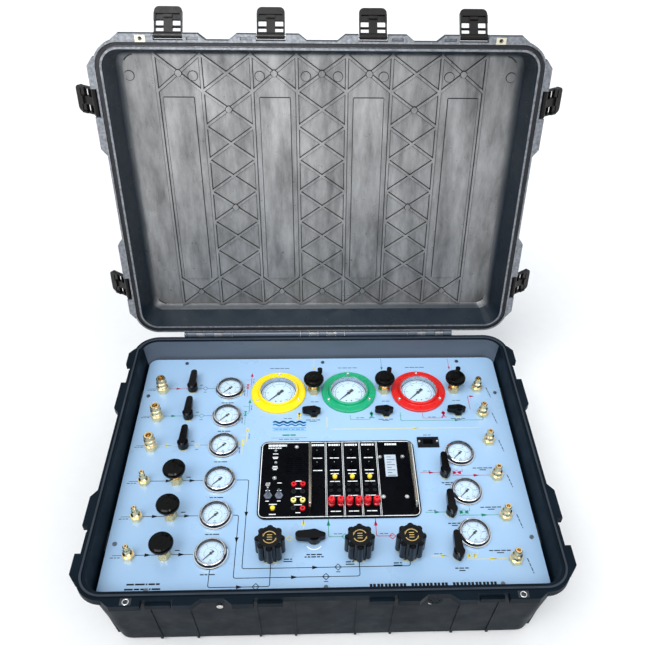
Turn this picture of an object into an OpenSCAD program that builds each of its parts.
// Three-diver gas control console built into a hinged transit case.
// Units are millimetres. X runs to the right, Y to the hinge side and Z up.
// The origin is the centre of the base's underside, below the middle of the rim opening.

/* [Case] */
// Width of the opening at the rim
rim_w = 878; // [860:1:900]
// Depth of the opening at the rim, front to back
rim_d = 654; // [640:1:680]
// Height of the base from its underside to the rim
base_h = 235; // [230:1:260]
// Inside depth of the lid
lid_depth = 68; // [64:1:90]
// Wall thickness of the base and the lid
wall = 5; // [4:0.5:6]
// How far the rim flange stands out from the opening
flange_w = 17; // [16:0.5:20]
// How far the latch and hinge bumps stand out beyond the flange
bump_w = 12; // [11:0.5:14]
// Angle from closed at which the open lid rests
lid_open = 98.3; // [92:0.1:105]

/* [Panel] */
// Width of the control panel
panel_w = 855; // [840:1:860]
// Depth of the control panel, front to back
panel_d = 629; // [620:1:635]
// Thickness of the control panel
panel_t = 3; // [2:0.5:4]
// Drop from the rim to the panel's top face
panel_drop = 50; // [45:1:55]

/* [Gauges] */
// Bezel diameter of a small pressure gauge
small_gauge_d = 68.4; // [66:0.2:70]
// Flange diameter of a depth gauge
depth_gauge_d = 129; // [120:1:134]

/* [Controls] */
// Reach of a supply or umbilical lever, hub to tip
lever_reach = 47; // [40:1:50]
// Reach of a depth-line lever, hub to tip
small_lever_reach = 27; // [24:1:30]
// Reach of the tender selector lever, hub to tip
tender_reach = 37; // [34:1:40]
// Diameter of a needle valve's round knob
needle_knob_d = 47; // [44:1:50]
// Diameter of a regulator's lobed knob
regulator_knob_d = 58; // [54:1:60]

/* [Communicator] */
// Width of the communicator's face plate
comms_w = 338; // [330:1:340]
// Depth of the communicator's face plate, front to back
comms_d = 199; // [196:1:204]

/* [Hidden] */
$fn = 64;
tiny = 0.01;

// Heights
rim_z = base_h;
panel_z = rim_z - panel_drop;
lid_rim_z = rim_z + 0.5;

// Base shell
corner_r = 37;
flange_t = 16;
draft_top_w = rim_w + 5;
draft_top_d = rim_d + 5.2;
draft_in = 23.5;
draft_angle = atan(draft_in / (rim_z - 20));
floor_t = 5;

// Lid shell
lid_flange_t = 14;
lid_draft = 18;

// Seal and tongue between base and lid
seal_line = 8.6;
tongue_w = 4;
groove_w = 9;
groove_depth = 6;

// Hinges
hinge_r = 7;
hinge_pin_r = 3;
hinge_y = rim_d / 2 + flange_w + hinge_r + 0.7;
hinge_z = rim_z + 1.8;
hinge_x = [-280, 0, 270];
// Filler barrels that close the gap between the hinges
hinge_rail = [[-342, -336], [-224, -56], [56, 214]];
knuckle_pitch = 22;
knuckle_w = 21;

// Latches: places along each edge, and the latch's own sizes
latch_front_x = [-302, -101, 101, 302];
latch_side_y = [-220, 220];
latch_w = 55;
latch_len = 58;
latch_open = 125;
latch_t = 8;
latch_pin_r = 2.5;
latch_knuckle_r = 6;
latch_stand_off = 8;
latch_pivot_z = rim_z + 9;
latch_gap = 1.5;
strike_w = 45;
front_edge = rim_d / 2 + flange_w;
side_edge = rim_w / 2 + flange_w;

// Pressure relief valve and front screws: X and Z on the front wall
purge_at = [200, rim_z - 32];
front_screw_at = [196, rim_z - 55];

// Padlock holes
lock_x = 356;
lock_y = -(front_edge + 3);
lock_hole_r = 4.2;
lock_tube_r = 5.6;
lock_plate = [20, 13];

// Rows of controls on the panel
supply_y = [for (i = [0:2]) 209.5 - 86 * i];
high_y = [for (i = [0:2]) -54.5 - 87 * i];
left_y = concat(supply_y, high_y);
outlet_y = concat([for (i = [0:2]) 206 - 81 * i], [for (i = [0:2]) -52 - 99.5 * i]);
umbilical_y = [for (i = [0:2]) -46 - 97 * i];
umbilical_gauge_y = [for (i = [0:2]) 7 - 100 * i];
depth_x = [for (i = [0:2]) -106 + 167 * i];
depth_control_x = [for (i = [0:2]) -22 + 168 * i];
regulator_x = [-106, 65.5, 164];

// Columns of controls on the panel
fitting_x = -381;
lever_x = -310;
needle_x = -313;
gauge_x = -222;
outlet_x = 370.5;
umbilical_lever_x = 259.5;
umbilical_gauge_x = 298.5;
depth_y = 197;
depth_knob_y = 202;
depth_lever_y = 128;
relief_dx = 15;
relief_y = 248;
regulator_y = -230;
tender_at = [-22, -199.5];
power_at = [233.6, 42.7];
small_gauge_at = concat([for (y = left_y) [gauge_x, y]],
                        [for (y = umbilical_gauge_y) [umbilical_gauge_x, y]]);
depth_gauge_at = [for (x = depth_x) [x, depth_y]];
lever_at = concat([for (y = supply_y) [lever_x, y]],
                  [for (x = depth_control_x) [x, depth_lever_y]],
                  [for (y = umbilical_y) [umbilical_lever_x, y]],
                  [tender_at]);
needle_at = concat([for (y = high_y) [needle_x, y + 2]],
                   [for (x = depth_control_x) [x, depth_knob_y]]);
regulator_at = [for (x = regulator_x) [x, regulator_y]];
panel_screw_at = concat([for (x = [-336, 0, 336], y = [-300, 300]) [x, y]],
                        [for (x = [-413, 413], y = [-201, 192]) [x, y]]);

// Small gauges
small_r = small_gauge_d / 2;
small_can_r = 26.5;
bezel_h = 15;
dial_z = 5;
dial_t = 1;

// Depth gauges
depth_r = depth_gauge_d / 2;
depth_can_r = 43;
depth_dial_z = -3;
flange_screw_r = 55.5;
flange_screw_angle = [90, 210, 330];
pointer_z = panel_z + depth_dial_z + dial_t + 0.8;
pointer_t = 1.2;
spindle_r = 1;
pointer_zero = 225;

// Valves, levers and knobs
valve_bottom = panel_z - 45;
lever_nut_h = 4;
lever_z = panel_z + lever_nut_h + 1;
lever_hub_h = 16;
stem_r = 4;
needle_stem_r = 3.5;
needle_bonnet_h = 33;
needle_knob_h = 18;
regulator_stem_r = 5;
regulator_bonnet_h = 12;
regulator_knob_h = 52;
running = 0.05;
line_z = panel_z - 37;
tube_r = 4;
tail_r = 9;

// Communicator
comms_at = [30, -52];
comms_t = 4;
comms_corner_r = 18;
comms_left = comms_at[0] - comms_w / 2;
call_x = [for (i = [0:2]) 22.5 + 37.3 * i];
call_y = -51;
talk_at = [-107, -127];
comms_screw_at = [[-60, 30], [-106, -52.5], [122, 0], [171.7, 0], [122.7, -103.5], [171.8, -104]];
speaker_at = [-65, -19];
lamp_at = [[-105.5, 20], [-104.5, -12]];
button_r = 5;
button_h = 8;
rack_x = [-30, 187];
rack_y = [-132, 20];
rack_h = 30;
rack_r = 3.4;

// Carrying handles
carry_y = 56;
carry_z = panel_z + 5;
carry_x = rim_w / 2 + 6.5;
carry_drop = 44;
carry_pin_r = 3;

// A rectangle with exact round corners
module rounded(w, d, r) {
    square([w - 2 * r, d], center = true);
    square([w, d - 2 * r], center = true);
    for (x = [-1, 1], y = [-1, 1])
        translate([x * (w / 2 - r), y * (d / 2 - r)])
            circle(r = r);
}

// A thin level of a drafted tub, standing out from the rim opening on every side
module level(out, z) {
    translate([0, 0, z])
        linear_extrude(tiny)
            rounded(rim_w + 2 * out, rim_d + 2 * out, corner_r + max(out, -8), $fn = 32);
}

// A ring that follows the rim at a distance outside the opening
module rim_ring(inner, outer, z, h) {
    translate([0, 0, z])
        linear_extrude(h)
            difference() {
                rounded(rim_w + 2 * outer, rim_d + 2 * outer, corner_r + outer);
                rounded(rim_w + 2 * inner, rim_d + 2 * inner, corner_r + inner);
            }
}

// A hexagonal nut or bonnet given by its width across flats
module hex(flats, h) {
    cylinder(d = flats / cos(30), h = h, $fn = 6);
}

module at_each(places) {
    for (p = places)
        translate([p[0], p[1], 0])
            children();
}

// Turns children from the closed lid's place to the open lid's place
module on_lid() {
    translate([0, hinge_y, hinge_z])
        rotate([-lid_open, 0, 0])
            translate([0, -hinge_y, -hinge_z])
                children();
}

// Outline of a bump: square at its near end, which guards a latch, and sloped at its far end
module bump_2d(near, far, out, back = 6) {
    slope = far > near ? 1.3 * bump_w : -1.3 * bump_w;
    polygon([[near, back], [near, -out], [far, -out], [far + slope, 0], [far + slope, back]]);
}

// A bump that stands out from the front edge between two X values
module front_bump(near, far, z, h) {
    translate([0, -front_edge, z])
        linear_extrude(h)
            bump_2d(near, far, bump_w);
}

// A bump that stands out from a side edge between two Y values
module side_bump(side, near, far, z, h) {
    scale([side, 1, 1])
        translate([side_edge, 0, z])
            rotate(90)
                linear_extrude(h)
                    bump_2d(near, far, bump_w);
}

// Plain bars that the latches catch under, along the base's front and sides
module strikes() {
    strike = [strike_w, 11.5, 12];
    for (x = latch_front_x)
        translate([x - strike_w / 2, -(front_edge + 5.5), rim_z - 24])
            cube(strike);
    for (s = [-1, 1], y = latch_side_y)
        scale([s, 1, 1])
            translate([side_edge - 6, y - strike_w / 2, rim_z - 24])
                cube([strike[1], strike[0], strike[2]]);
}

// Hinge knuckles at every other pitch, with a web to the flange
module knuckles(offsets, web_z, web_h, bore) {
    for (x = hinge_x, k = offsets)
        translate([x + k * knuckle_pitch - knuckle_w / 2, 0, 0])
            difference() {
                union() {
                    translate([0, hinge_y, hinge_z])
                        rotate([0, 90, 0])
                            cylinder(r = hinge_r, h = knuckle_w);
                    translate([0, front_edge - 4, web_z])
                        cube([knuckle_w, hinge_y - front_edge + 4, web_h]);
                }
                translate([-1, hinge_y, hinge_z])
                    rotate([0, 90, 0])
                        cylinder(r = bore, h = knuckle_w + 2);
            }
}

// Solid barrels between the hinges, in line with their knuckles
module hinge_fillers() {
    for (span = hinge_rail) {
        translate([span[0], hinge_y, hinge_z])
            rotate([0, 90, 0])
                cylinder(r = hinge_r - 0.3, h = span[1] - span[0]);
        translate([span[0], front_edge - 4, rim_z - 14])
            cube([span[1] - span[0], hinge_y - front_edge + 4, 13.5]);
    }
}

module lock_holes(z, h, r) {
    for (s = [-1, 1])
        translate([s * lock_x, lock_y, z])
            cylinder(r = r, h = h);
}

// Vertical stiffening ribs on the drafted walls
module wall_ribs() {
    rib = [5, 6, 185];
    for (s = [-1, 1], x = [-329, -256, -131, -60, 60, 131, 256, 329])
        scale([1, s, 1])
            translate([x - rib[0] / 2, -(draft_top_d / 2 - draft_in + 2.5), 8])
                rotate([draft_angle, 0, 0])
                    cube(rib);
    for (s = [-1, 1], y = [-290, -150, 150, 290])
        scale([s, 1, 1])
            translate([draft_top_w / 2 - draft_in - 3.5, y - rib[0] / 2, 8])
                rotate([0, draft_angle, 0])
                    cube([rib[1], rib[0], rib[2]]);
}

// Lugs that carry the folding handles, one pair on each side
module carry_lugs() {
    for (s = [-1, 1], t = [-1, 1])
        difference() {
            translate([s * (carry_x - 2) - 8, t * (carry_y + 11) - 6, carry_z - 8])
                cube([16, 12, 16]);
            translate([s * carry_x, t * (carry_y + 11) + 8, carry_z])
                rotate([90, 0, 0])
                    cylinder(r = carry_pin_r + running, h = 16);
        }
}

module base_shell() {
    color("#23272d")
    difference() {
        union() {
            hull() {
                level(-draft_in - 6.5, 0);
                level(-draft_in, 4);
                level(3.5 - draft_in, 12);
                level(wall, rim_z - 2);
            }
            rim_ring(-2, flange_w, rim_z - flange_t, flange_t);
            rim_ring(seal_line - tongue_w / 2, seal_line + tongue_w / 2, rim_z - 1, 3.6);
            wall_ribs();
            for (s = [-1, 1])
                scale([s, 1, 1]) {
                    front_bump(lock_x - 25, lock_x + 30, rim_z - flange_t, flange_t);
                    front_bump(273, 240, rim_z - flange_t, flange_t);
                    front_bump(130, 168, rim_z - flange_t, flange_t);
                }
            for (s = [-1, 1]) {
                side_bump(s, -250, -292, rim_z - flange_t, flange_t);
                side_bump(s, -190, -124, rim_z - flange_t, flange_t);
                side_bump(s, 190, 112, rim_z - flange_t, flange_t);
                side_bump(s, 250, 288, rim_z - flange_t, flange_t);
            }
            strikes();
            knuckles([-2, 0, 2], rim_z - 14, 13.5, hinge_pin_r + 0.02);
            hinge_fillers();
            carry_lugs();
            translate([purge_at[0], -draft_top_d / 2 - 4, purge_at[1]])
                rotate([-90, 0, 0])
                    cylinder(r = 15, h = 12);
        }
        hull() {
            level(-draft_in - wall - 2, floor_t);
            level(-draft_in - 2, floor_t + 8);
            level(0, rim_z);
            level(0, rim_z + 6);
        }
        lock_holes(rim_z - flange_t - 1, flange_t + 2, lock_tube_r);
        translate([0, 0, rim_z - 1.5])
            for (s = [-1, 1])
                translate([s * lock_x - lock_plate[0] / 2, lock_y - lock_plate[1] / 2, 0])
                    cube([lock_plate[0], lock_plate[1], 3]);
        translate([purge_at[0], -draft_top_d / 2 - 6, purge_at[1]])
            rotate([-90, 0, 0])
                cylinder(r = 10, h = 24);
    }
}

// Steel eyelet and plate that line one padlock hole
module lock_eyelet(z, h, plate_z) {
    for (s = [-1, 1])
        translate([s * lock_x, lock_y, 0])
            difference() {
                union() {
                    translate([0, 0, z])
                        cylinder(r = lock_tube_r, h = h);
                    translate([-lock_plate[0] / 2, -lock_plate[1] / 2, plate_z])
                        cube([lock_plate[0], lock_plate[1], 1.5]);
                }
                translate([0, 0, z - 1])
                    cylinder(r = lock_hole_r, h = h + 2);
            }
}

module base_hardware() {
    color("#c9c6bd") {
        for (x = hinge_x)
            translate([x - 2.5 * knuckle_pitch, hinge_y, hinge_z])
                rotate([0, 90, 0])
                    cylinder(r = hinge_pin_r, h = 5 * knuckle_pitch);
        lock_eyelet(rim_z - flange_t, flange_t, rim_z - 1.5);
        for (s = [-1, 1])
            translate([s * front_screw_at[0], -draft_top_d / 2 - 2, front_screw_at[1]])
                rotate([-90, 0, 0])
                    difference() {
                        cylinder(r = 6, h = 6);
                        translate([0, 0, -1])
                            hex(5, 3);
                    }
    }
}

module purge_valve() {
    color("#2b2e33")
    translate([purge_at[0], -draft_top_d / 2 - 4, purge_at[1]])
        rotate([90, 0, 0])
            difference() {
                union() {
                    cylinder(r = 14, h = 6);
                    translate([0, 0, -14])
                        cylinder(r = 9.8, h = 15);
                }
                for (i = [0:5])
                    rotate(60 * i)
                        translate([8, 0, 3])
                            cylinder(r = 1.6, h = 4);
            }
}

// Angle-section support frame held to the base's walls by tabs
module panel_frame() {
    tab = [44, 30, 10];
    tab_x = 431.6;
    tab_y = 319.4;
    color("#9da3a8") {
        for (x = [-336, 0, 336], s = [-1, 1])
            translate([x - tab[0] / 2, s * (tab_y - tab[1] / 2) - tab[1] / 2, panel_z - panel_t - tab[2]])
                cube(tab);
        for (y = [-190, 190], s = [-1, 1])
            translate([s * (tab_x - tab[1] / 2) - tab[1] / 2, y - tab[0] / 2, panel_z - panel_t - tab[2]])
                cube([tab[1], tab[0], tab[2]]);
        translate([0, 0, panel_z - panel_t - 4])
            linear_extrude(4)
                difference() {
                    rounded(panel_w + 2, panel_d + 2, 21);
                    rounded(panel_w - 38, panel_d - 38, 8);
                }
        translate([0, 0, panel_z - panel_t - 26])
            linear_extrude(22)
                difference() {
                    rounded(panel_w - 32, panel_d - 32, 10);
                    rounded(panel_w - 38, panel_d - 38, 8);
                }
    }
}

module panel_holes() {
    for (p = small_gauge_at)
        translate([p[0], p[1], 0])
            cylinder(r = small_can_r + 0.3, h = 2 * panel_z);
    for (p = depth_gauge_at)
        translate([p[0], p[1], 0])
            cylinder(r = depth_can_r + 0.3, h = 2 * panel_z);
    for (y = left_y)
        translate([fitting_x, y, 0])
            cylinder(r = tail_r + 0.3, h = 2 * panel_z);
    for (y = outlet_y)
        translate([outlet_x, y, 0])
            cylinder(r = tail_r + 0.3, h = 2 * panel_z);
    for (p = lever_at)
        translate([p[0], p[1], 0])
            cylinder(r = 7.3, h = 2 * panel_z);
    for (p = needle_at)
        translate([p[0], p[1], 0])
            cylinder(r = 8.3, h = 2 * panel_z);
    for (p = regulator_at)
        translate([p[0], p[1], 0])
            cylinder(r = 16.3, h = 2 * panel_z);
    for (x = depth_control_x)
        translate([x + relief_dx, relief_y, 0])
            cylinder(r = 4.3, h = 2 * panel_z);
    for (p = panel_screw_at)
        translate([p[0], p[1], 0])
            cylinder(r = 2.3, h = 2 * panel_z);
    translate([comms_at[0] - 161, comms_at[1] - 93, 0])
        cube([322, 186, 2 * panel_z]);
    translate([power_at[0] - 14, power_at[1] - 10, 0])
        cube([28, 20, 2 * panel_z]);
}

module panel_plate() {
    color("#b9d6f2")
    difference() {
        translate([0, 0, panel_z - panel_t])
            linear_extrude(panel_t)
                rounded(panel_w, panel_d, 20);
        panel_holes();
    }
}

// Round-headed screw whose head rests at the given height
module screw(head_r, z, shank) {
    difference() {
        union() {
            translate([0, 0, z])
                cylinder(r = head_r, h = 2.4);
            translate([0, 0, z - shank])
                cylinder(r = 2, h = shank + 0.1);
        }
        translate([0, 0, z + 1.2])
            hex(3, 2);
    }
}

module panel_screws() {
    color("#d6d8da") {
        at_each(panel_screw_at)
            screw(4.2, panel_z, 3);
        at_each(depth_gauge_at)
            for (a = flange_screw_angle)
                rotate(a)
                    translate([flange_screw_r, 0, 0])
                        screw(3.6, panel_z + 6.5, 6.5);
        at_each(comms_screw_at)
            screw(4.4, panel_z + comms_t, comms_t);
        for (x = [-20, 20])
            translate([power_at[0] + x, power_at[1], 0])
                screw(2.8, panel_z + 3.5, 3.5);
    }
}

// One small gauge: bezel ring on the panel and a can below it
module small_gauge_case() {
    translate([0, 0, panel_z])
        rotate_extrude()
            polygon([[0, -32], [small_can_r, -32], [small_can_r, 0], [small_r, 0], [small_r, 5.5],
                     [small_r - 0.8, 7], [small_r - 2.5, 7.5], [small_r - 3, 10], [small_r - 4.2, bezel_h - 1],
                     [small_r - 5.5, bezel_h], [small_can_r + 1, bezel_h], [small_can_r, bezel_h - 1],
                     [small_can_r, dial_z], [0, dial_z]]);
    translate([0, 0, panel_z - 44])
        cylinder(r = 7, h = 13);
}

// One depth gauge: a deep can below the panel with the pointer's spindle
module depth_gauge_case() {
    translate([0, 0, panel_z])
        rotate_extrude()
            polygon([[0, -48], [depth_can_r, -48], [depth_can_r, 12], [depth_can_r - 1.5, 12],
                     [depth_can_r - 1.5, depth_dial_z], [0, depth_dial_z]]);
    translate([0, 0, panel_z - 60])
        cylinder(r = 8, h = 13);
    translate([0, 0, panel_z + depth_dial_z - 1])
        cylinder(r = spindle_r, h = 4.5);
}

module gauge_cases() {
    color("#d9dcdf") {
        at_each(small_gauge_at)
            small_gauge_case();
        at_each(depth_gauge_at)
            depth_gauge_case();
    }
}

// Flat needle with a narrow tip and a broad tail, lying along X
module needle_blade(reach, tail, w, t) {
    linear_extrude(t)
        union() {
            polygon([[0, w / 2], [reach, 0.4], [reach, -0.4], [0, -w / 2]]);
            polygon([[0, w / 2], [-tail, w * 0.8], [-tail, -w * 0.8], [0, -w / 2]]);
        }
}

module gauge_dials() {
    color("#eef2f4") {
        at_each(small_gauge_at)
            translate([0, 0, panel_z + dial_z])
                cylinder(r = small_can_r - 0.4, h = dial_t);
        at_each(depth_gauge_at)
            translate([0, 0, panel_z + depth_dial_z])
                difference() {
                    cylinder(r = depth_can_r - 2, h = dial_t);
                    translate([0, 0, -1])
                        cylinder(r = spindle_r + 0.3, h = dial_t + 2);
                }
    }
    color("#15171a")
    at_each(small_gauge_at)
        translate([0, 0, panel_z + dial_z + dial_t]) {
            cylinder(r = 2.6, h = 2.4);
            translate([0, 0, 0.8])
                rotate(pointer_zero)
                    needle_blade(20, 7, 2.6, 1);
        }
}

module gauge_lenses() {
    color("#dff1ff", 0.3) {
        at_each(small_gauge_at)
            translate([0, 0, panel_z + 9.6])
                cylinder(r = small_can_r - 0.1, h = 1.8);
        at_each(depth_gauge_at)
            translate([0, 0, panel_z + 9.6])
                cylinder(r = depth_can_r - 1.6, h = 1.8);
    }
}

// Coloured mounting flange of a depth gauge
module depth_flange(x) {
    r_in = depth_can_r + 0.2;
    translate([x, depth_y, panel_z])
        difference() {
            rotate_extrude()
                polygon([[r_in, 0], [depth_r, 0], [depth_r, 5], [depth_r - 1.5, 6.5], [50, 6.5], [49, 7.5],
                         [47.5, 13], [46, 14.5], [r_in + 0.6, 14.5], [r_in, 13.5]]);
            for (a = flange_screw_angle)
                rotate(a)
                    translate([flange_screw_r, 0, -1])
                        cylinder(r = 2.2, h = 9);
        }
}

module flange_yellow() {
    color("#f4d300")
    depth_flange(depth_x[0]);
}

module flange_green() {
    color("#0a9a66")
    depth_flange(depth_x[1]);
}

module flange_red() {
    color("#d5211c")
    depth_flange(depth_x[2]);
}

// Threaded tail that a fitting passes through the panel
module fitting_tail() {
    translate([0, 0, valve_bottom])
        cylinder(r = tail_r, h = panel_z - valve_bottom + 1);
}

// Large open-ended supply inlet: hexagon, collar and ringed neck
module supply_inlet() {
    difference() {
        union() {
            fitting_tail();
            translate([0, 0, panel_z])
                hex(25, 14);
            translate([0, 0, panel_z + 14])
                rotate_extrude()
                    polygon([[0, 0], [11.5, 0], [11.5, 5], [10, 6.5], [10, 9], [12, 10.5], [12, 16],
                             [10, 18], [10, 20], [10.8, 21], [10.8, 28], [9.5, 30], [0, 30]]);
        }
        translate([0, 0, panel_z + 20])
            cylinder(r = 6, h = 30);
    }
}

// High pressure nipple: hexagon with a slim round-nosed spigot
module high_inlet() {
    difference() {
        union() {
            fitting_tail();
            translate([0, 0, panel_z])
                hex(22, 10);
            translate([0, 0, panel_z + 10])
                rotate_extrude()
                    polygon([[0, 0], [9.5, 0], [9.5, 4], [6.5, 7], [6.5, 16], [5.5, 17.5], [5.5, 26],
                             [4, 28], [0, 28]]);
        }
        translate([0, 0, panel_z + 24])
            cylinder(r = 2, h = 20);
    }
}

// Outlet: hexagon, cone and open spigot
module outlet() {
    difference() {
        union() {
            fitting_tail();
            translate([0, 0, panel_z])
                hex(24, 11);
            translate([0, 0, panel_z + 11])
                rotate_extrude()
                    polygon([[0, 0], [11, 0], [11, 4], [9.5, 8], [9.5, 11], [7.2, 13.5], [7.2, 25],
                             [6.2, 26.5], [0, 26.5]]);
        }
        translate([0, 0, panel_z + 20])
            cylinder(r = 3.6, h = 20);
    }
}

module inlet_fittings() {
    color("#cfa95a") {
        for (y = supply_y)
            translate([fitting_x, y, 0])
                supply_inlet();
        for (y = high_y)
            translate([fitting_x, y, 0])
                high_inlet();
    }
}

module outlet_fittings() {
    color("#d8b566")
    for (y = outlet_y)
        translate([outlet_x, y, 0])
            outlet();
}

// Quarter-turn valve: block below the panel, packing nut and stem above it
module lever_valve() {
    translate([-14, -17, valve_bottom])
        cube([28, 34, panel_z - panel_t - valve_bottom]);
    translate([0, 0, panel_z - panel_t - 1])
        cylinder(r = 7, h = panel_t + 2);
    translate([0, 0, panel_z])
        hex(20, lever_nut_h);
    translate([0, 0, panel_z])
        cylinder(r = stem_r, h = lever_nut_h + lever_hub_h);
}

module needle_valve() {
    translate([0, 0, valve_bottom])
        cylinder(r = 14, h = panel_z - panel_t - valve_bottom);
    translate([0, 0, panel_z - panel_t - 1])
        cylinder(r = 8, h = panel_t + 2);
    translate([0, 0, panel_z])
        hex(24, 19);
    translate([0, 0, panel_z + 19])
        cylinder(r = 9, h = needle_bonnet_h - 20);
    translate([0, 0, panel_z])
        cylinder(r = needle_stem_r, h = needle_bonnet_h + needle_knob_h - 5);
}

module regulator_body() {
    translate([0, 0, panel_z - 75])
        cylinder(r = 27, h = 75 - panel_t);
    translate([0, 0, panel_z - panel_t - 1])
        cylinder(r = 16, h = panel_t + 2);
    translate([0, 0, panel_z])
        hex(38, 6);
    translate([0, 0, panel_z + 6])
        cylinder(r = 17, h = regulator_bonnet_h - 7);
    translate([0, 0, panel_z])
        cylinder(r = regulator_stem_r, h = regulator_bonnet_h + regulator_knob_h - 8);
}

// Small capped relief valve behind each depth knob
module relief_valve() {
    translate([0, 0, valve_bottom + 20])
        cylinder(r = 4, h = panel_z - valve_bottom);
    translate([0, 0, panel_z])
        hex(11, 6);
    translate([0, 0, panel_z + 19])
        cylinder(r = 6, h = 11);
}

module valve_bodies() {
    color("#b8934a") {
        at_each(lever_at)
            lever_valve();
        at_each(needle_at)
            needle_valve();
        at_each(regulator_at)
            regulator_body();
        for (x = depth_control_x)
            translate([x + relief_dx, relief_y, 0])
                relief_valve();
    }
}

// A straight gas tube along X between two faces
module tube_x(x0, x1, y, z) {
    translate([x0, y, z])
        rotate([0, 90, 0])
            cylinder(r = tube_r, h = x1 - x0);
}

module gas_tubing() {
    color("#a56a45") {
        for (y = supply_y) {
            tube_x(fitting_x + tail_r + 0.2, lever_x - 14, y, line_z);
            tube_x(lever_x + 14, gauge_x - 7.2, y, line_z);
        }
        for (y = high_y) {
            tube_x(fitting_x + tail_r + 0.2, needle_x - 14.2, y, line_z);
            tube_x(needle_x + 14.2, gauge_x - 7.2, y, line_z);
        }
        for (i = [0:2])
            tube_x(umbilical_lever_x + 14, outlet_x - tail_r - 0.2, outlet_y[i + 3], line_z);
        tube_x(depth_control_x[2] + 14, outlet_x - tail_r - 0.2, outlet_y[1], line_z);
        tube_x(regulator_x[0] + 27.2, regulator_x[1] - 27.2, regulator_y, panel_z - 60);
        tube_x(regulator_x[1] + 27.2, regulator_x[2] - 27.2, regulator_y, panel_z - 60);
    }
}

// Fixed volume knob of the communicator
module volume_knob() {
    translate([0, 0, panel_z + comms_t])
        difference() {
            union() {
                cylinder(r = 6.5, h = 2);
                cylinder(r = 5, h = 11);
            }
            translate([-0.6, 1.5, 9.5])
                cube([1.2, 6, 3]);
        }
}

module comms_faceplate() {
    color("#0d0f13") {
        difference() {
            translate([comms_at[0], comms_at[1], panel_z])
                linear_extrude(comms_t)
                    rounded(comms_w, comms_d, comms_corner_r);
            for (p = concat([talk_at], [for (x = call_x) [x, call_y]]))
                translate([p[0], p[1], panel_z - 1])
                    cylinder(r = button_r + 0.4, h = comms_t + 2);
            for (p = comms_screw_at)
                translate([p[0], p[1], panel_z - 1])
                    cylinder(r = 2.2, h = comms_t + 2);
            for (s = [-1, 1], j = [-4:4])
                translate([speaker_at[0] + 9.5 * s - 8, speaker_at[1] + 5 * j - 0.7, panel_z - 1])
                    cube([16, 1.4, comms_t + 2]);
        }
        for (x = concat([-15.5], call_x - [0.5, 0.5, 0.5]), y = [11, -21.5])
            translate([x, y, 0])
                volume_knob();
    }
}

// Sealed electronics housing with the battery pack beside the circuit board
module comms_chassis() {
    size = [318, 182, 118];
    top_z = panel_z;
    color("#7d8287") {
        translate([comms_at[0], comms_at[1], top_z - size[2]])
            difference() {
                translate([-size[0] / 2, -size[1] / 2, 0])
                    cube(size);
                translate([2 - size[0] / 2, 2 - size[1] / 2, 2])
                    cube([size[0] - 4, size[1] - 4, size[2]]);
            }
        translate([comms_left + 20, comms_at[1] - 75, top_z - size[2] + 2])
            cube([98, 150, 65]);
        translate([comms_left + 130, comms_at[1] - 80, top_z - 40])
            cube([180, 160, 1.6]);
        for (x = [140, 300], y = [-70, 70])
            translate([comms_left + x, comms_at[1] + y, top_z - size[2] + 1])
                cylinder(r = 3, h = size[2] - 40.5);
    }
}

// Binding post with a waist, standing on the face plate
module binding_post() {
    translate([0, 0, panel_z + comms_t])
        rotate_extrude()
            polygon([[0, 0], [7, 0], [7, 4], [5.5, 5], [5.5, 7], [7.4, 8.5], [7.4, 18], [6, 20],
                     [2.2, 20], [2.2, 15], [0, 15]]);
}

// Low socket with an open centre
module socket(r, h) {
    translate([0, 0, panel_z + comms_t])
        difference() {
            cylinder(r = r, h = h);
            translate([0, 0, 1])
                cylinder(r = r * 0.42, h = h);
        }
}

module comms_jacks() {
    pair = 19;
    color("#d01f2a")
    for (x = call_x, dx = [-pair / 2, pair / 2])
        translate([x + 1 + dx, -117.5, 0])
            binding_post();
    color("#c41f2c")
    for (p = [[-64.5, -68.7], [-45.5, -68.7], [-45.5, -129]])
        translate([p[0], p[1], 0])
            socket(5.6, 4);
    color("#f0e070")
    for (x = [-64.5, -45.5])
        translate([x, -108.6, 0])
            socket(5.6, 4);
    color("#101214") {
        for (p = [[-64.5, -88.5], [-45.5, -88.5], [-64.5, -129]])
            translate([p[0], p[1], 0])
                socket(5.2, 4);
        for (x = call_x, dx = [-8.5, 8.5], y = [-72, -87])
            translate([x + dx, y, 0])
                socket(4, 3.5);
    }
    color("#5b626c")
    for (x = [-117.7, -95])
        translate([x, -96.7, panel_z + comms_t]) {
            hex(15, 3);
            cylinder(r = 3.4, h = 7);
            translate([0, 0, 6])
                rotate([-20, 0, 0])
                    cylinder(r = 2, h = 13);
        }
    color("#c9ccd0") {
        translate([-119, -74, panel_z + comms_t])
            cylinder(r = 5, h = 9);
        for (p = lamp_at)
            translate([p[0], p[1], panel_z + comms_t])
                cylinder(r = 3, h = 3);
    }
}

module rack_handles() {
    color("#c6c9cc")
    for (x = rack_x) {
        for (y = rack_y)
            translate([x, y, panel_z + comms_t]) {
                cylinder(r = rack_r, h = rack_h - comms_t);
                translate([0, 0, rack_h - comms_t])
                    sphere(r = rack_r);
            }
        translate([x, rack_y[0], panel_z + rack_h])
            rotate([-90, 0, 0])
                cylinder(r = rack_r, h = rack_y[1] - rack_y[0]);
    }
}

module power_inlet() {
    color("#131518")
    translate([power_at[0], power_at[1], panel_z])
        difference() {
            union() {
                translate([-24, -14, 0])
                    cube([48, 28, 3.5]);
                translate([-13.5, -9.5, -25])
                    cube([27, 19, 26]);
            }
            translate([-11, -7, -12])
                cube([22, 14, 20]);
            for (x = [-20, 20])
                translate([x, 0, -1])
                    cylinder(r = 2.2, h = 6);
        }
}

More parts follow.
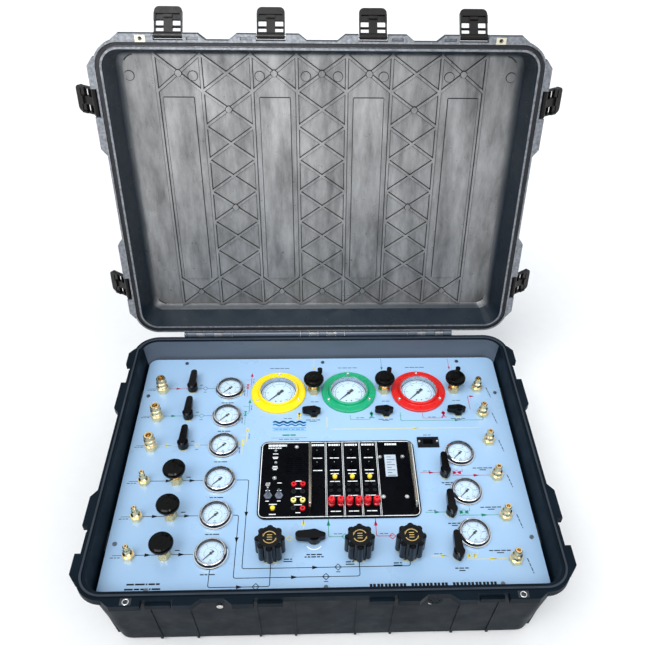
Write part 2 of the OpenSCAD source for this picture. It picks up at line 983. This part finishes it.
// Diamond lattice and straight ribs on the inside of the lid's floor
rib_x = [52.8, 148, 253, 348];
rib_w = 5;
rib_h = 4;
rib_over = 6;
rib_cells = 8;
cell_s = 75.9;
lattice_mid_y = 0.5;
lattice_y0 = lattice_mid_y - rib_cells * cell_s / 2;

// One diagonal pair that fills a cell between two ribs
module diamond(x0, x1, y0, y1) {
    len = norm([x1 - x0, y1 - y0]);
    turn = atan2(y1 - y0, x1 - x0);
    translate([(x0 + x1) / 2, (y0 + y1) / 2])
        for (s = [-1, 1])
            rotate(s * turn)
                square([len, rib_w], center = true);
}

module lattice_2d() {
    for (s = [-1, 1], x = rib_x)
        translate([s * x, lattice_mid_y])
            square([rib_w, rib_cells * cell_s + 2 * rib_over], center = true);
    full = [[-rib_x[0], rib_x[0]], [rib_x[1], rib_x[2]], [-rib_x[2], -rib_x[1]]];
    ends = [[rib_x[0], rib_x[1]], [rib_x[2], rib_x[3]], [-rib_x[1], -rib_x[0]], [-rib_x[3], -rib_x[2]]];
    for (c = full, i = [0:rib_cells - 1])
        diamond(c[0], c[1], lattice_y0 + i * cell_s, lattice_y0 + (i + 1) * cell_s);
    for (c = ends, i = [0, rib_cells - 1])
        diamond(c[0], c[1], lattice_y0 + i * cell_s, lattice_y0 + (i + 1) * cell_s);
}

// Raised pads between the lattice columns, moulding discs and bosses where diagonals cross
pad_x = [100.5, 305];
pad_size = [64.5, 442];
pad_y = 7;
disc_x = [34, 131, 271, 403];
disc_y = -259;
boss_x = [[100.4, 0, rib_cells - 1], [0, 0, rib_cells - 1], [300.5, 0, rib_cells - 1], [200.5, 1, 4]];

module lid_relief() {
    for (s = [-1, 1], x = pad_x)
        translate([s * x - pad_size[0] / 2, pad_y - pad_size[1] / 2, 0])
            cube([pad_size[0], pad_size[1], 3 + rib_h]);
    for (s = [-1, 1], x = disc_x)
        translate([s * x, disc_y, 0])
            cylinder(r = 9.5, h = 1.5 + rib_h);
    for (b = boss_x, i = [b[1], b[2]], s = b[0] == 0 ? [1] : [-1, 1])
        translate([s * b[0], lattice_y0 + (i + 0.5) * cell_s, 0])
            cylinder(r = 6.5, h = 5 + rib_h);
}

module lid_bumps(z, h) {
    for (s = [-1, 1])
        scale([s, 1, 1]) {
            front_bump(331, 400, z, h);
            front_bump(273, 244, z, h);
            front_bump(130, 168, z, h);
            front_bump(72, 46, z, h);
        }
    for (s = [-1, 1]) {
        side_bump(s, -249, -295, z, h);
        side_bump(s, -191, -124, z, h);
        side_bump(s, 191, 104, z, h);
        side_bump(s, 249, 288, z, h);
    }
}

// Bores along the front edge for the latch pins
module latch_pin_bores(r, extra) {
    len = latch_w + 2 * latch_gap + extra;
    for (x = latch_front_x)
        translate([x - len / 2, -(front_edge + latch_stand_off), latch_pivot_z])
            rotate([0, 90, 0])
                cylinder(r = r, h = len);
    for (s = [-1, 1], y = latch_side_y)
        translate([s * (side_edge + latch_stand_off), y + len / 2, latch_pivot_z])
            rotate([90, 0, 0])
                cylinder(r = r, h = len);
}

module lid_shell() {
    top_z = lid_rim_z + lid_depth + wall;
    color("#3a3f45")
    on_lid()
        difference() {
            union() {
                rim_ring(-2, flange_w, lid_rim_z, lid_flange_t);
                hull() {
                    level(6, lid_rim_z + groove_depth + 1.5);
                    level(10 - lid_draft, top_z - 12);
                    level(-lid_draft, top_z);
                }
                lid_bumps(lid_rim_z, lid_flange_t);
                knuckles([-1, 1], lid_rim_z + 3.5, 10, hinge_pin_r + running);
            }
            difference() {
                hull() {
                    level(0, lid_rim_z - 1);
                    level(-4, lid_rim_z + 12);
                    level(4 - lid_draft, lid_rim_z + lid_depth - 12);
                    level(-lid_draft - 6, lid_rim_z + lid_depth);
                }
                translate([0, 0, lid_rim_z + lid_depth - rib_h])
                    linear_extrude(rib_h + 1)
                        lattice_2d();
                translate([0, 0, lid_rim_z + lid_depth + rib_h])
                    mirror([0, 0, 1])
                        lid_relief();
            }
            rim_ring(seal_line - groove_w / 2, seal_line + groove_w / 2, lid_rim_z - 1, groove_depth + 1);
            lock_holes(lid_rim_z - 1, lid_flange_t + 2, lock_tube_r);
            for (s = [-1, 1])
                translate([s * lock_x - lock_plate[0] / 2, lock_y - lock_plate[1] / 2, lid_rim_z - 1])
                    cube([lock_plate[0], lock_plate[1], 2.5]);
            for (x = [-254.5, -149.5, 149.5, 254.5])
                translate([x - 12, -(front_edge + 7), lid_rim_z - 1])
                    cube([24, 6, 6]);
            latch_pin_bores(latch_pin_r + 0.02, 26);
        }
}

module lid_seal() {
    color("#101112")
    on_lid()
        rim_ring(seal_line - 3, seal_line + 3, lid_rim_z + groove_depth - 2.5, 2.5);
}

module lid_hardware() {
    color("#c9c6bd")
    on_lid() {
        latch_pin_bores(latch_pin_r, 24);
        lock_eyelet(lid_rim_z, lid_flange_t, lid_rim_z);
    }
}

// Latch in its closed place: pivot at the origin, case towards +Y, hanging down
module latch_closed() {
    window_w = 16;
    strut_w = 17;
    difference() {
        union() {
            translate([-latch_w / 2, 0, 0])
                rotate([0, 90, 0])
                    cylinder(r = latch_knuckle_r, h = latch_w);
            translate([-latch_w / 2, -latch_t + 0.5, -latch_len + 12])
                cube([latch_w, latch_t, latch_len - 12]);
            hull()
                for (s = [-1, 1])
                    translate([s * (latch_w / 2 - 10), -latch_t - 1, -latch_len + 10])
                        rotate([-90, 0, 0])
                            cylinder(r = 10, h = latch_t, $fn = 32);
            translate([-strut_w / 2, -1, -40])
                cube([strut_w, 5.5, 5.5]);
            for (s = [-1, 1])
                translate([s * (latch_w / 2 - 2) - 2, -latch_t, -latch_len + 14])
                    cube([4, latch_t + 3, 16]);
        }
        for (s = [-1, 1]) {
            translate([s * (strut_w + window_w) / 2 - window_w / 2, -latch_t - 2, -17])
                cube([window_w, latch_t + 4, 9.5]);
            translate([s * (strut_w + window_w) / 2 - window_w / 2, -latch_t - 2, -31.5])
                cube([window_w, latch_t + 4, 12.5]);
        }
        translate([-latch_w / 2 + 4, -3.5, -43.5])
            cube([latch_w - 8, 6, 3]);
        translate([-latch_w / 2 - 1, 0, 0])
            rotate([0, 90, 0])
                cylinder(r = latch_pin_r + running, h = latch_w + 2);
    }
}

// Latch swung back to its open stop, placed on the lid
module latch(x, y, turn) {
    color("#16181b")
    on_lid()
        translate([x, y, latch_pivot_z])
            rotate(turn)
                rotate([-latch_open, 0, 0])
                    latch_closed();
}

module latch_front(i) {
    latch(latch_front_x[i], -(front_edge + latch_stand_off), 0);
}

module latch_side(side, i) {
    latch(side * (side_edge + latch_stand_off), latch_side_y[i], 90 * side);
}

// Lever with a long and a short arm, pointing along +X from its hub
module lever(p, turn, reach, back, w) {
    color("#141518")
    translate([p[0], p[1], lever_z])
        rotate(turn)
            difference() {
                union() {
                    cylinder(r = w * 0.66, h = lever_hub_h);
                    hull() {
                        translate([-back + 5, 0, 4])
                            cylinder(r = 5, h = lever_hub_h - 3, $fn = 32);
                        translate([0, 0, 4])
                            cylinder(r = w / 2, h = lever_hub_h, $fn = 32);
                        translate([reach - w * 0.4, 0, 6])
                            cylinder(r = w * 0.4, h = lever_hub_h - 3, $fn = 32);
                    }
                }
                translate([0, 0, -1])
                    cylinder(r = stem_r + running, h = lever_hub_h + 1.5);
            }
}

module supply_lever(i) {
    lever(lever_at[i], 90, lever_reach, 13, 18);
}

module depth_lever(i) {
    lever(lever_at[i + 3], 180, small_lever_reach, 16, 15);
}

module umbilical_lever(i) {
    lever(lever_at[i + 6], 90, lever_reach - 2, 16, 17);
}

module tender_lever() {
    lever(lever_at[9], 180, tender_reach, 23, 20);
}

// Round domed knob of a needle valve
module needle_knob(i) {
    r = needle_knob_d / 2;
    color("#111214")
    translate([needle_at[i][0], needle_at[i][1], panel_z + needle_bonnet_h])
        difference() {
            rotate_extrude()
                polygon([[0, 0], [9, 0], [10, 3], [r - 4, 3], [r - 0.8, 5], [r, 8], [r, 12],
                         [r - 1.5, 15], [r - 5, needle_knob_h - 1.2], [r - 11, needle_knob_h], [0, needle_knob_h]]);
            translate([0, 0, -1])
                cylinder(r = needle_stem_r + running, h = needle_knob_h - 3);
        }
}

// Eight-lobed hand knob of a regulator
module regulator_knob(i) {
    r = regulator_knob_d / 2;
    lobe_r = 6.5;
    h = regulator_knob_h;
    color("#15171b")
    translate([regulator_at[i][0], regulator_at[i][1], panel_z + regulator_bonnet_h])
        difference() {
            union() {
                cylinder(r = r - lobe_r, h = h);
                for (k = [0:7])
                    rotate(45 * k)
                        translate([r - lobe_r, 0, 4])
                            cylinder(r = lobe_r, h = h - 9);
                for (k = [0:7])
                    rotate(45 * k)
                        translate([r - lobe_r - 1, 0, h - 6])
                            cylinder(r1 = lobe_r, r2 = lobe_r - 2.5, h = 4);
            }
            translate([0, 0, h - 1.2])
                cylinder(r = r - 11, h = 2);
            translate([0, 0, -1])
                cylinder(r = regulator_stem_r + running, h = h - 6);
        }
}

// Moving pointer of a depth gauge, resting at the start of its scale
module depth_pointer(i) {
    color("#1b1d20")
    translate([depth_x[i], depth_y, pointer_z])
        rotate(pointer_zero)
            difference() {
                union() {
                    cylinder(r = 4, h = pointer_t + 0.6);
                    needle_blade(31, 13, 4, pointer_t);
                }
                translate([0, 0, -1])
                    cylinder(r = spindle_r + running, h = pointer_t + 4);
            }
}

// Folding handle that hangs against the side of the base
module carry_handle(side) {
    color("#1d2024")
    translate([side * carry_x, 0, carry_z]) {
        for (t = [-1, 1]) {
            translate([0, t * carry_y, 0])
                rotate([0, 180, 0])
                    cylinder(r = 4.5, h = carry_drop);
            translate([0, t * carry_y, 0])
                sphere(r = 4.5);
            translate([0, t * carry_y, 0])
                rotate([-90 * t, 0, 0])
                    cylinder(r = carry_pin_r, h = 16);
        }
        translate([0, carry_y + 5, -carry_drop])
            rotate([90, 0, 0])
                cylinder(r = 8, h = 2 * carry_y + 10);
    }
}

// Domed push button
module push_button(p) {
    color("#f0cf2e")
    translate([p[0], p[1], panel_z + 1.4]) {
        cylinder(r = button_r, h = button_h - 1);
        translate([0, 0, button_h - 1])
            cylinder(r1 = button_r, r2 = button_r - 1.2, h = 1);
    }
}

base_shell();
base_hardware();
purge_valve();
panel_frame();
panel_plate();
panel_screws();
gauge_cases();
gauge_dials();
gauge_lenses();
flange_yellow();
flange_green();
flange_red();
inlet_fittings();
outlet_fittings();
valve_bodies();
gas_tubing();
comms_faceplate();
comms_chassis();
comms_jacks();
rack_handles();
power_inlet();
lid_shell();
lid_seal();
lid_hardware();
latch_front(0);  // latch_front_1
latch_front(1);  // latch_front_2
latch_front(2);  // latch_front_3
latch_front(3);  // latch_front_4
latch_side(-1, 0);  // latch_left_1
latch_side(-1, 1);  // latch_left_2
latch_side(1, 0);  // latch_right_1
latch_side(1, 1);  // latch_right_2
supply_lever(0);  // supply_lever_1
supply_lever(1);  // supply_lever_2
supply_lever(2);  // supply_lever_3
depth_lever(0);  // depth_lever_1
depth_lever(1);  // depth_lever_2
depth_lever(2);  // depth_lever_3
umbilical_lever(0);  // umbilical_lever_1
umbilical_lever(1);  // umbilical_lever_2
umbilical_lever(2);  // umbilical_lever_3
tender_lever();
needle_knob(0);  // needle_knob_1
needle_knob(1);  // needle_knob_2
needle_knob(2);  // needle_knob_3
needle_knob(3);  // depth_knob_1
needle_knob(4);  // depth_knob_2
needle_knob(5);  // depth_knob_3
regulator_knob(0);  // regulator_knob_1
regulator_knob(1);  // regulator_knob_2
regulator_knob(2);  // regulator_knob_3
depth_pointer(0);  // depth_pointer_1
depth_pointer(1);  // depth_pointer_2
depth_pointer(2);  // depth_pointer_3
carry_handle(-1);  // carry_handle_left
carry_handle(1);  // carry_handle_right
push_button(talk_at);  // talk_button
push_button([call_x[0], call_y]);  // call_button_1
push_button([call_x[1], call_y]);  // call_button_2
push_button([call_x[2], call_y]);  // call_button_3
